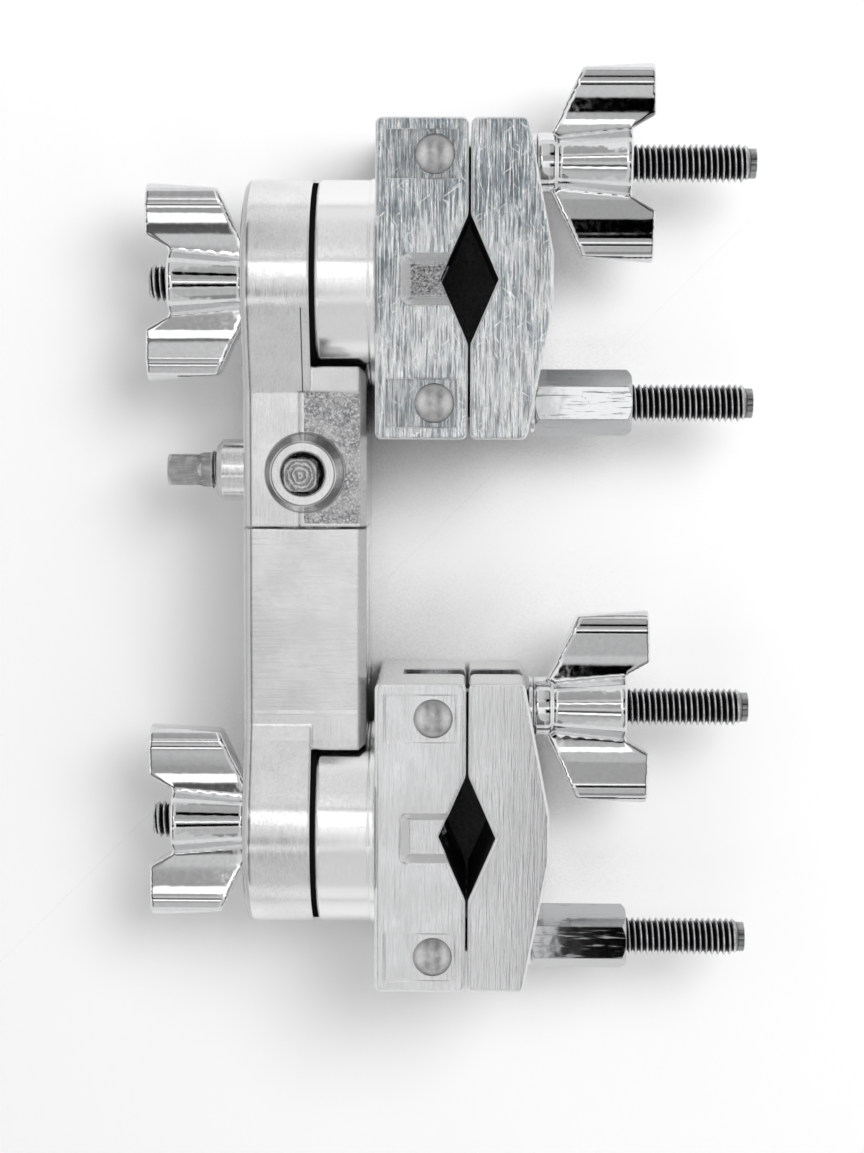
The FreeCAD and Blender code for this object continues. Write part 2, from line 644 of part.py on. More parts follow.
def draw_hexagon(sketch, corner, flats):
    """A hexagon with two corners on the sketch's X axis."""
    draw_outline(sketch, [
        (corner, "0"),
        (f"{corner} / 2", f"{flats} / 2"),
        (f"-{corner} / 2", f"{flats} / 2"),
        (f"-{corner}", "0"),
        (f"-{corner} / 2", f"-{flats} / 2"),
        (f"{corner} / 2", f"-{flats} / 2"),
    ])


def cut_bolt_recess(body):
    """The drum bolt's bore, and the hexagon recess for its head in the point of the V."""
    outline = new_sketch(body, "head_recess_outline", "YZ_Plane", "head_place")
    draw_hexagon(outline, "recess_corner", "recess_flats")
    pocket(body, "head_recess", outline, "inner_face - head_place", reverse=True)
    circle = new_sketch(body, "drum_bolt_circle", "YZ_Plane", "drum_start - 1")
    draw_circle(circle, "thread_radius + thread_gap")
    pocket(body, "drum_bolt_bore", circle, "head_place - drum_start + 2", reverse=True)


def soften_jaw(body, block, inner, outer):
    """Rounded corners, an eased mouth of the V, and a small bevel round both large faces."""
    end = number("jaw_height / 2")
    mouth = number("v_height / 2")
    corners = [(number(face), place) for face in (inner, outer) for place in (-end, end)]
    edges = edges_of(block, outer_corners(corners))
    rounded = soften(body, "Fillet", "corner_rounding", block, edges, "jaw_corner")
    edges = edges_of(rounded, outer_corners([(number(inner), -mouth), (number(inner), mouth)]))
    eased = soften(body, "Fillet", "mouth_rounding", rounded, edges, "mouth_radius")
    return soften(body, "Chamfer", "face_bevel", eased, edges_of(eased, large_face_rim), "jaw_edge")


def make_fixed_jaw(label, drum_axis):
    """The jaw half with its drum, swing bolt slots, pin holes and the bolt head's recess."""
    body = new_body(label)
    outline = new_sketch(body, "jaw_outline", "XY_Plane")
    draw_outline(outline, [
        ("jaw_back", "-jaw_height / 2"),
        ("inner_face", "-jaw_height / 2"),
        ("inner_face", "-v_height / 2"),
        ("v_point", "0"),
        ("inner_face", "v_height / 2"),
        ("inner_face", "jaw_height / 2"),
        ("jaw_back", "jaw_height / 2"),
    ])
    block = pad(body, "jaw_block", outline, "jaw_depth", both=True)
    soften_jaw(body, block, "inner_face", "jaw_back")
    profile = new_sketch(body, "drum_profile", "XY_Plane")
    draw_outline(profile, [
        ("drum_start", "0"),
        ("drum_start", "disc_radius - drum_edge"),
        ("drum_start + drum_edge", "disc_radius"),
        ("jaw_back - lip_width", "disc_radius"),
        ("jaw_back - lip_width", "disc_radius + lip_height"),
        ("jaw_back", "disc_radius + lip_height"),
        ("jaw_back", "disc_radius / 2"),
        (f"jaw_back + {OVERLAP}", "disc_radius / 2"),
        (f"jaw_back + {OVERLAP}", "0"),
    ])
    turned(body, "drum", profile, "H_Axis")
    cut_swing_slots(body, "inner_face - slot_depth", "slot_depth + 1", True)
    holes = new_sketch(body, "pin_hole_circles", "XY_Plane")
    draw_circle(holes, "pin_radius + running_gap", "pin_place", "pin_half")
    draw_circle(holes, "pin_radius + running_gap", "pin_place", "-pin_half")
    pocket(body, "pin_holes", holes, "jaw_depth + 2", both=True)
    cut_face_pockets(body)
    cut_bolt_recess(body)
    put(body, "0", drum_axis)
    return body


def make_moving_jaw(label, drum_axis):
    """The outer jaw half, thick at its middle, with open slots and seats for the nuts."""
    body = new_body(label)
    outline = new_sketch(body, "jaw_outline", "XY_Plane")
    draw_outline(outline, [
        ("moving_face", "-jaw_height / 2"),
        ("moving_face + moving_end", "-jaw_height / 2"),
        ("moving_face + moving_thickness", "-moving_flat / 2"),
        ("moving_face + moving_thickness", "moving_flat / 2"),
        ("moving_face + moving_end", "jaw_height / 2"),
        ("moving_face", "jaw_height / 2"),
        ("moving_face", "v_height / 2"),
        ("moving_point", "0"),
        ("moving_face", "-v_height / 2"),
    ])
    block = pad(body, "jaw_block", outline, "jaw_depth", both=True)
    soften_jaw(body, block, "moving_face", "moving_face + moving_end")
    seats = new_sketch(body, "nut_seat_circles", "YZ_Plane", "seat_place")
    draw_circle(seats, "seat_radius", "pin_half", "0")
    draw_circle(seats, "seat_radius", "-pin_half", "0")
    pocket(body, "nut_seats", seats, "moving_thickness - seat_thickness + 1", reverse=True)
    cut_swing_slots(body, "moving_face - 1", "moving_thickness + 2", False)
    put(body, "0", drum_axis)
    return body


def make_pin(label, x, y):
    """A rivet with two domed heads, on which a swing bolt turns."""
    body = new_body(label)
    profile = new_sketch(body, "rivet_profile", "XZ_Plane")
    draw_outline(profile, [
        ("0", "-pin_shoulder - pin_head_height"),
        ("pin_head_radius", "-pin_shoulder", "0", 1),
        ("pin_radius", "-pin_shoulder"),
        ("pin_radius", "pin_shoulder"),
        ("pin_head_radius", "pin_shoulder"),
        ("0", "pin_shoulder + pin_head_height", "0", 1),
    ])
    turned(body, "rivet", profile, "V_Axis")
    put(body, x, y)
    return body


def make_swing_bolt(label, x, y):
    """A threaded bolt with a flat eye round its pin."""
    body = new_body(label)
    profile = new_sketch(body, "shank_profile", "XY_Plane")
    draw_outline(profile, [
        (f"eye_radius - {OVERLAP}", "0"),
        (f"eye_radius - {OVERLAP}", "blank_radius"),
        ("blank_length", "blank_radius"),
        ("blank_length", "thread_radius"),
        ("swing_length - tip_length", "thread_radius"),
        ("swing_length", "tip_radius"),
        ("swing_length", "0"),
    ])
    turned(body, "shank", profile, "H_Axis")
    circle = new_sketch(body, "eye_circle", "XY_Plane")
    draw_circle(circle, "eye_radius")
    pad(body, "eye", circle, "eye_width", both=True)
    hole = new_sketch(body, "eye_hole_circle", "XY_Plane")
    draw_circle(hole, "pin_radius + running_gap")
    pocket(body, "eye_hole", hole, "eye_width + 2", both=True)
    put(body, x, y)
    return body


def make_ring(label, outer, inner, thickness, x, y, rotation=None):
    """A flat ring across X, such as a washer or a friction disc."""
    body = new_body(label)
    circles = new_sketch(body, "ring_circles", "YZ_Plane")
    draw_circle(circles, outer)
    draw_circle(circles, inner)
    pad(body, "ring", circles, thickness)
    put(body, x, y, rotation=rotation)
    return body


def draw_wing_section(sketch):
    """The wings cut across: a hollow web that swells to a rounded tip on each side."""
    joint = "lobe_place - lobe_out"
    other = "-lobe_place + lobe_out"
    draw_outline(sketch, [
        ("-web_start", "-web_half", "-web_start", -1),
        ("web_start", "-web_half"),
        (joint, "-lobe_up", "web_start", -1),
        (joint, "lobe_up", "lobe_place", 1),
        ("web_start", "web_half", "web_start", -1),
        ("-web_start", "web_half"),
        (other, "lobe_up", "-web_start", -1),
        (other, "-lobe_up", "-lobe_place", 1),
    ])


def draw_wing_outline(sketch):
    """What is cut away from the wings, seen from the front: a frame round their outline."""
    draw_outline(sketch, [
        ("-1", "-wing_reach - 1"),
        ("wing_nut_length + 1", "-wing_reach - 1"),
        ("wing_nut_length + 1", "wing_reach + 1"),
        ("-1", "wing_reach + 1"),
    ])
    draw_outline(sketch, [
        ("flange_length / 2", "-wing_root"),
        ("wing_inner_place", "-wing_inner_reach"),
        ("wing_nut_length - wing_tip_slant", "-wing_reach"),
        ("wing_nut_length", "-wing_notch"),
        ("hub_length", "-hub_radius"),
        ("hub_length", "hub_radius"),
        ("wing_nut_length", "wing_notch"),
        ("wing_nut_length - wing_tip_slant", "wing_reach"),
        ("wing_inner_place", "wing_inner_reach"),
        ("flange_length / 2", "wing_root"),
    ])


def make_wing_nut(label, x, y, rotation=None):
    """A wing nut with a round foot, a tapered hub and two swept wings."""
    body = new_body(label)
    section = new_sketch(body, "wing_section", "YZ_Plane")
    draw_wing_section(section)
    pad(body, "wings", section, "wing_nut_length")
    frame = new_sketch(body, "wing_outline", "XY_Plane")
    draw_wing_outline(frame)
    pocket(body, "wing_trim", frame, "3 * lobe_radius", both=True)
    profile = new_sketch(body, "hub_profile", "XY_Plane")
    draw_outline(profile, [
        ("0", "0"),
        ("0", "flange_radius - hub_edge"),
        ("hub_edge", "flange_radius"),
        ("flange_length - hub_edge", "flange_radius"),
        ("flange_length", "flange_waist"),
        ("hub_length - hub_edge", "hub_radius"),
        ("hub_length", "hub_radius - hub_edge"),
        ("hub_length", "0"),
    ])
    turned(body, "hub", profile, "H_Axis")
    circle = new_sketch(body, "thread_circle", "YZ_Plane")
    draw_circle(circle, "thread_radius + thread_gap")
    pocket(body, "thread_bore", circle, "wing_nut_length", reverse=True)
    put(body, x, y, rotation=rotation)
    return body


def make_hex_nut(label, x, y):
    """A long hexagon nut with bevelled ends."""
    body = new_body(label)
    outline = new_sketch(body, "hexagon", "YZ_Plane")
    draw_hexagon(outline, "hex_corner", "hex_flats")
    pad(body, "hexagon_bar", outline, "hex_length")
    profile = new_sketch(body, "bevel_profile", "XY_Plane")
    for end, inwards in (("0", "hex_bevel"), ("hex_length", "hex_length - hex_bevel")):
        draw_outline(profile, [
            (end, "hex_flats / 2"),
            (inwards, "hex_corner"),
            (inwards, "hex_corner + 1"),
            (end, "hex_corner + 1"),
        ])
    turned(body, "end_bevels", profile, "H_Axis", cut=True)
    circle = new_sketch(body, "thread_circle", "YZ_Plane")
    draw_circle(circle, "thread_radius + thread_gap")
    pocket(body, "thread_bore", circle, "hex_length", reverse=True)
    put(body, x, y)
    return body


def make_drum_bolt(label, drum_axis):
    """The bolt that holds the drum to the arm, with its head in the point of the V."""
    body = new_body(label)
    outline = new_sketch(body, "head_outline", "YZ_Plane", "head_place")
    draw_hexagon(outline, "head_corner", "head_flats")
    pad(body, "head", outline, "head_height")
    profile = new_sketch(body, "shank_profile", "XY_Plane")
    draw_outline(profile, [
        (f"head_place + {OVERLAP}", "0"),
        (f"head_place + {OVERLAP}", "thread_radius"),
        ("-drum_tip + tip_length", "thread_radius"),
        ("-drum_tip", "tip_radius"),
        ("-drum_tip", "0"),
    ])
    turned(body, "shank", profile, "H_Axis")
    put(body, "0", drum_axis)
    return body


def make_clamp(side, drum_axis):
    """All pieces of one clamp: the drum joint, both jaws, and their bolts and nuts."""
    turned_back = Rotation(Vector(0, 0, 1), 180)
    bore = "thread_radius + thread_gap"
    pieces = [
        make_fixed_jaw(f"{side}_fixed_jaw", drum_axis),
        make_moving_jaw(f"{side}_moving_jaw", drum_axis),
        make_ring(f"{side}_friction_disc", "disc_radius - friction_inset", bore, "friction_thickness",
                  "disc_face", drum_axis),
        make_drum_bolt(f"{side}_drum_bolt", drum_axis),
        make_ring(f"{side}_drum_washer", "washer_radius", bore, "washer_thickness",
                  "-drum_seat - running_gap", drum_axis, turned_back),
        make_wing_nut(f"{side}_drum_nut", "-drum_nut_seat", drum_axis, turned_back),
    ]
    for kind, bolt_axis in (("wing", f"{drum_axis} + pin_half"), ("hex", f"{drum_axis} - pin_half")):
        pieces.append(make_pin(f"{side}_{kind}_pin", "pin_place", bolt_axis))
        pieces.append(make_swing_bolt(f"{side}_{kind}_bolt", "pin_place", bolt_axis))
        pieces.append(make_ring(f"{side}_{kind}_washer", "washer_radius", bore, "washer_thickness",
                                "washer_place", bolt_axis))
    pieces.append(make_wing_nut(f"{side}_wing_nut", "nut_place", f"{drum_axis} + pin_half"))
    pieces.append(make_hex_nut(f"{side}_hex_nut", "nut_place", f"{drum_axis} - pin_half"))
    return pieces


def check_and_write(pieces):
    """Stop at any failed object or bad shape, then write one file for each piece."""
    doc.recompute()
    for item in doc.Objects:
        if "Invalid" in item.State or "Error" in item.State:
            raise RuntimeError(f"{item.Label}: {item.State}")
    for piece in pieces:
        shape = piece.Shape
        if shape.isNull() or not shape.isValid() or len(shape.Solids) != 1:
            raise RuntimeError(f"{piece.Label}: bad shape with {len(shape.Solids)} solids")
    os.makedirs("parts", exist_ok=True)
    for piece in pieces:
        piece.Shape.exportStep(f"parts/{piece.Label}.step")
        print(piece.Label, round(piece.Shape.Volume, 1))


fill_sheet()
check_and_write(
    [make_upper_arm(), make_lower_arm(), make_swivel_rod()]
    + make_key_bolts()
    + make_clamp("upper", "upper_reach")
    + make_clamp("lower", "-lower_reach")
)
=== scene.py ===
"""The grabber clamp's looks, threads, studio and camera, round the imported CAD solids."""
import json
import math

import bmesh
import bpy
from mathutils import Matrix, Vector


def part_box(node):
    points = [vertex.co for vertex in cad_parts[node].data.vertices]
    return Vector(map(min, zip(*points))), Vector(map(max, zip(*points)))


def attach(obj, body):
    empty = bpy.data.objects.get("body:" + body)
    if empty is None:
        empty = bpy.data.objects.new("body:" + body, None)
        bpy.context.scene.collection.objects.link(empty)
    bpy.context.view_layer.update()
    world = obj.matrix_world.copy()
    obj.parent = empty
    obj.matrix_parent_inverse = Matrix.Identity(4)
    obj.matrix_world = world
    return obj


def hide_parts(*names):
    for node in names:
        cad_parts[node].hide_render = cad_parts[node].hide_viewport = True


MM = 0.001

# The CAD source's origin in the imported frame. It lies on the centre rod's axis.
ROD_AXIS = Vector((-29.125, -0.1, 21.5)) * MM

# The M8 threads. A profile point is a share of the pitch and a share of the thread's height.
PITCH = 1.25 * MM
THREAD_RADIUS = 3.95 * MM
THREAD_ROOT = 3.15 * MM
THREAD_SIDES = 28
THREAD_PROFILE = ((0.0, 1.0), (0.06, 0.96), (0.20, 0.62), (0.36, 0.16), (0.45, 0.0), (0.55, 0.0),
                  (0.64, 0.16), (0.80, 0.62), (0.94, 0.96))
WELD_DISTANCE = 0.0005 * MM

# The bolts' ends: radius, cone slope, and length on the swing bolts and on the drum bolts.
TIP_RADIUS = 3.1 * MM
TIP_SLOPE = 0.8
TIP_LENGTH = 1.4 * MM
DRUM_TIP_LENGTH = 0.1 * MM

# Where the threads lie: a swing bolt's eye and plain shank, the length of a drum bolt's thread, and
# the side key bolt's thread and what sticks out beyond it.
EYE_RADIUS = 5.8 * MM
BLANK_LENGTH = 15.0 * MM
DRUM_THREAD = 14.0 * MM
KEY_THREAD = 3.4 * MM
KEY_END = 9.4 * MM

# How far the wing nuts' edges are melted.
MELT_VOXEL = 0.3 * MM
MELT_FACTOR = 0.5
MELT_ROUNDS = 8

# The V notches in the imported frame.
NOTCH_MIDDLE = ROD_AXIS.x + 33.25 * MM
NOTCH_DEPTH = 5.9 * MM
NOTCH_HEIGHT = 25.9 * MM
NOTCH_UPPER = ROD_AXIS.y + 50.2 * MM
NOTCH_LOWER = ROD_AXIS.y - 63.2 * MM

# The jaws: where the drum ends, with a soft edge, and how far from a V's middle the shade changes.
# Then half the band that holds the faces that meet, the height over the middle plane below which a
# flat face is sunk, and half the height of the floor of the pocket beside the V.
JAW_START = ROD_AXIS.x + 14.4 * MM
DRUM_EDGE = 0.2 * MM
SHADE_REACH = 24 * MM
MEETING_HALF = 0.45 * MM
SUNK_BELOW = 18.8 * MM
POCKET_HALF = 3.1 * MM

# What a face is, by the size of its normal's Z part, and where a chamfer's painted shade starts and
# ends, by the size of its X part. Each pair is where the share is 0 and where it is 1.
FACE_FLAT = (0.6, 0.7)
FACE_SLOPED = (0.94, 0.90)
FACE_UPRIGHT = (0.4, 0.3)
CHAMFER_SHADE_STARTS = (0.25, 0.35)
CHAMFER_SHADE_ENDS = (0.95, 0.85)

# The front boss: its axis, where the rough skin round it starts, and its two creases, each a radius
# and a half width. The creases are painted dark as shade.
BOSS_X = ROD_AXIS.x
BOSS_Y = ROD_AXIS.y + 11.25 * MM
BOSS_FOOT = (7.9 * MM, 8.3 * MM)
BOSS_CREASES = ((8.05 * MM, 0.28 * MM), (6.35 * MM, 0.22 * MM))

# Marks, painted shade and painted highlights on the arms, in mm from the rod's axis. A band is a
# middle and a half width, and a patch is a band along X and a band along Y.
ROUGH_HALF = ((6.6, 6.9), (14.2, 13.4))
SEAM = ((-0.45, 0.17), (36.0, 8.5))
STEP_SHADE_PATCH = ((7.0, 5.5), (30.8, 3.2))
FLARE_HIGHLIGHT_EDGE = (-37.9, 0.45)
FLARE_HIGHLIGHT_SLOPE = (-41.1, 2.6)
LOWER_BLOCK = (-20.5, 19.0)

# The front key's end: how far its rings wander, their count per metre times two pi, and its rim,
# painted dark as shade.
RING_WANDER = 1.6 * MM
RING_RATE = 6500.0
KEY_RIM_SHADE = (3.3 * MM, 3.9 * MM)

# Greys of metal rubbed bright, of dirt and of painted shade, the width of a mask's soft edge, and
# the cosines of the tilt at which an edge starts to show wear and shows it fully.
RUBBED = 0.97
DIRT_AND_SHADE = 0.10
SOFT_EDGE = 0.1 * MM
WEAR_STARTS = 0.995
WEAR_FULL = 0.88

# The roughness of each finish where it is smoothest and where it is roughest.
ARM_ROUGHNESS = (0.13, 0.24)
JAW_ROUGHNESS = (0.11, 0.24)
DRUM_ROUGHNESS = (0.12, 0.20)
CHROME_ROUGHNESS = (0.02, 0.06)
NUT_ROUGHNESS = (0.05, 0.36)
RIVET_ROUGHNESS = (0.34, 0.44)
KEY_END_ROUGHNESS = (0.16, 0.32)
THREAD_ROUGHNESS = (0.12, 0.24)
FIBRE_ROUGHNESS = (0.6, 0.85)

# The greys that each finish varies between, each with how much bluer it is.
ARM_DARK, ARM_LIGHT = (0.72, 0.006), (0.82, 0.002)
SKIN_DARK, SKIN_LIGHT = (0.20, 0.014), (0.85, 0.01)
# The V walls' and the meeting faces' greys are painted shade.
NOTCH_SHADE_DARK, NOTCH_SHADE_LIGHT = (0.07, 0.01), (0.20, 0.02)
MEETING_SHADE_GREY = (0.28, 0.01)
CHROME_DARK, CHROME_LIGHT = (0.72, 0.008), (0.77, 0.014)
NUT_GREY = (0.48, 0.012)
CREST_DARK, CREST_LIGHT = (0.50, 0.015), (0.85, 0.015)

# The ranges of a noise that most finishes stretch.
NOISE_MIDDLE = (0.35, 0.65)
NOISE_WIDE = (0.3, 0.7)

# Scratches on a worn jaw: a turn in radians and the noise level at which they start. They are full
# a little above it.
SCRATCH_EDGE = 0.02
SCRATCHES = ((0.9, 0.70), (-0.5, 0.705), (2.2, 0.71))

# The floor: a sheet just under the clamp that is dark where hardly any light gets in.
FLOOR_SIZE = 60.0
FLOOR_DROP = 0.02 * MM
SHELTER_REACH = 60 * MM
SHELTER_SAMPLES = 4
SHELTER_RANGE = (0.05, 0.20)

# The studio's strips. A stop is an angle from straight up towards +Y in degrees and a level. The
# further strips begin at an angle from straight up towards +X.
FIRST_STRIPS = (
    (-90, 0.62), (-40, 0.60), (-30, 0.42), (-25.5, 0.40), (-24.4, 1.6), (-18.6, 1.6), (-17.6, 0.30),
    (-16, 0.10), (-10.5, 0.14), (-8.5, 0.70), (-2, 0.68), (4, 0.45), (14.5, 0.43), (15.5, 1.6),
    (20, 1.6), (21, 0.20), (23, 0.20), (24.5, 0.70), (32, 0.70), (33, 0.42), (60, 0.45), (90, 0.62))
FURTHER_STRIPS = (
    (-5.7, (
        (-90, 0.76), (-30, 0.76), (-27, 0.62), (-12, 0.66), (-8, 0.84), (-3, 0.90), (-2, 1.3),
        (3, 1.3), (5, 3.2), (19, 3.2), (21, 0.60), (24, 0.60), (26, 1.35), (34, 1.3), (42, 1.02),
        (90, 1.0))),
    (-3.0, (
        (-90, 0.72), (-24, 0.72), (-18, 1.10), (-7, 1.08), (-1, 1.15), (1, 1.15), (4, 0.50),
        (20, 0.50), (25, 0.72), (90, 0.72))),
    (2.3, (
        (-90, 0.30), (-56, 0.32), (-50, 0.58), (-26, 0.55), (-24, 0.70), (-19.5, 0.68),
        (-18.2, 0.46), (-17.4, 0.0), (-8, 0.0), (-7, 0.50), (-2.2, 0.60), (-2, 1.8), (1.2, 1.8),
        (1.5, 0.62), (9, 0.62), (9.5, 0.45), (23.5, 0.45), (24.5, 0.0), (35, 0.0), (36, 0.45),
        (62, 0.52), (70, 0.32), (90, 0.30))))
STRIP_BLUR = 0.002

# Round the strips: dark flanks, side walls that rise between two angles, and pale walls below a
# height.
FLANK_ANGLE = 22
FLANK_HALF = 0.13
FLANK_SHARE = 0.75
FLANK_LEVEL = 0.04
WALL_ANGLES = (32, 45)
WALL_LEVEL = 1.1
HORIZON_RANGE = (0.36, 0.27)
HORIZON_LEVEL = 0.9

# The one lamp.
LAMP_PLACE = (0.35, 0.30, 0.75)
LAMP_AIM = (0, 0, 0.02)
LAMP_SIZE = 0.45
LAMP_ENERGY = 4.6

# The photograph's camera: where its axis meets the middle plane, its distance, its turns about X, Y
# and Z, and its focal length as a share of the picture's height.
AIM = Vector((25.69, -11.11, 0.0)) * MM
DISTANCE = 462.0 * MM
TURNS = [math.radians(angle) for angle in (-5.10, 0.87, 0.19)]
FOCAL_SHARE = 2192.9 / 1153.0
SENSOR = 36.0


def add(tree, kind, inputs=None, **settings):
    """Add a node and return its first output. An input is a plain value or another output."""
    node = tree.nodes.new(kind)
    for name, value in settings.items():
        setattr(node, name, value)
    for key, value in (inputs or {}).items():
        if isinstance(value, bpy.types.NodeSocket):
            tree.links.new(value, node.inputs[key])
        else:
            node.inputs[key].default_value = value
    return node.outputs[0]


def object_place(tree, scale=(1, 1, 1), turn=0.0):
    """Object coordinates, scaled along each axis after a turn about Z."""
    texture = tree.nodes.new("ShaderNodeTexCoord")
    turned = add(tree, "ShaderNodeMapping", {"Vector": texture.outputs["Object"],
                                             "Rotation": (0, 0, turn)})
    return add(tree, "ShaderNodeMapping", {"Vector": turned, "Scale": scale})


def noise(tree, place, scale, detail=3.0, roughness=0.55, distortion=0.0):
    """A noise between about 0.25 and 0.75."""
    return add(tree, "ShaderNodeTexNoise", {"Vector": place, "Scale": scale, "Detail": detail,
                                            "Roughness": roughness, "Distortion": distortion})


def spread(tree, value, low, high, out_low=0.0, out_high=1.0):
    """The value's range from low to high, stretched to another range and clamped."""
    return add(tree, "ShaderNodeMapRange", {"Value": value, "From Min": low, "From Max": high,
                                            "To Min": out_low, "To Max": out_high})


def blend(tree, share, first, second):
    """Two colours mixed by a share of the second."""
    return add(tree, "ShaderNodeMixRGB", {"Fac": share, "Color1": first, "Color2": second})


def combine(tree, operation, first, second=0.0):
    """The result of a maths operation on one or two numbers."""
    return add(tree, "ShaderNodeMath", {0: first, 1: second}, operation=operation)


def times(tree, first, second):
    """Two numbers multiplied."""
    return combine(tree, "MULTIPLY", first, second)


def bump(tree, height, distance, strength=1.0, normal=None):
    """A normal tilted by a height."""
    inputs = {"Height": height, "Distance": distance, "Strength": strength}
    if normal is not None:
        inputs["Normal"] = normal
    return add(tree, "ShaderNodeBump", inputs)


def rounded_edges(tree, radius):
    """A normal that rounds sharp edges."""
    return add(tree, "ShaderNodeBevel", {"Radius": radius}, samples=6)


def near_edges(tree, radius):
    """A share that rises towards convex and concave edges."""
    rounded = rounded_edges(tree, radius)
    geometry = tree.nodes.new("ShaderNodeNewGeometry")
    tilt = tree.nodes.new("ShaderNodeVectorMath")
    tilt.operation = "DOT_PRODUCT"
    tree.links.new(rounded, tilt.inputs[0])
    tree.links.new(geometry.outputs["True Normal"], tilt.inputs[1])
    return spread(tree, tilt.outputs["Value"], WEAR_STARTS, WEAR_FULL)


def metal(name, metallic=1.0):
    """A new material: the material, its tree and its shader node."""
    material = bpy.data.materials.new(name)
    material.use_nodes = True
    tree = material.node_tree
    shader = tree.nodes["Principled BSDF"]
    shader.inputs["Metallic"].default_value = metallic
    return material, tree, shader


def finish(tree, shader, colour, roughness, normal):
    """Link the three varying inputs of a shader."""
    tree.links.new(colour, shader.inputs["Base Color"])
    tree.links.new(roughness, shader.inputs["Roughness"])
    tree.links.new(normal, shader.inputs["Normal"])


def grey(value, blue=0.0):
    """A grey, a little bluer by the second number."""
    return (value, value + 0.6 * blue, value + blue, 1)


def streaks(tree, across, along, turn=0.0, detail=2.0):
    """Fine parallel marks: noise that is short across X and Z and long along Y."""
    place = object_place(tree, (across, along, across), turn)
    return noise(tree, place, scale=1.0, detail=detail, roughness=0.6)


def between(tree, value, middle, half):
    """1 where a value is nearer to a middle than a half width, with a soft edge, else 0."""
    distance = combine(tree, "ABSOLUTE", combine(tree, "SUBTRACT", value, middle))
    return spread(tree, distance, half, half - SOFT_EDGE)


def parts_of(tree, vector):
    """The outputs X, Y and Z of a vector."""
    parts = tree.nodes.new("ShaderNodeSeparateXYZ")
    tree.links.new(vector, parts.inputs[0])
    return parts.outputs


def facing_of(tree):
    """The outputs X, Y and Z of the object's own normal."""
    return parts_of(tree, tree.nodes.new("ShaderNodeTexCoord").outputs["Normal"])


def away(tree, parts, x, y):
    """The distance from an upright axis through a place."""
    along_x = combine(tree, "SUBTRACT", parts["X"], x)
    along_y = combine(tree, "SUBTRACT", parts["Y"], y)
    squares = combine(tree, "ADD", times(tree, along_x, along_x), times(tree, along_y, along_y))
    return combine(tree, "SQRT", squares)


def level_band(tree, parts, band):
    """1 inside a band along Y, given in mm from the rod's axis."""
    middle, half = band
    return between(tree, parts["Y"], ROD_AXIS.y + middle * MM, half * MM)


def patch(tree, parts, bands):
    """1 inside a band along X and a band along Y, given in mm from the rod's axis."""
    (middle, half), level = bands
    upright = between(tree, parts["X"], ROD_AXIS.x + middle * MM, half * MM)
    return times(tree, upright, level_band(tree, parts, level))


def block_masks(tree, parts):
    """Shares of the arms.

    These are the rough half, the seam and the step of the upper arm's block, the creases of its
    front boss, and the flare of the lower arm. The step and the creases carry painted shade, and
    the flare a painted highlight.
    """
    radius = away(tree, parts, BOSS_X, BOSS_Y)
    half = times(tree, patch(tree, parts, ROUGH_HALF), spread(tree, radius, *BOSS_FOOT))
    seam = patch(tree, parts, SEAM)
    step = patch(tree, parts, STEP_SHADE_PATCH)
    outer, inner = (between(tree, radius, *crease) for crease in BOSS_CREASES)
    creases = combine(tree, "MAXIMUM", outer, inner)
    flare = combine(tree, "ADD", level_band(tree, parts, FLARE_HIGHLIGHT_EDGE),
                    times(tree, level_band(tree, parts, FLARE_HIGHLIGHT_SLOPE), 0.4))
    return half, seam, step, creases, flare


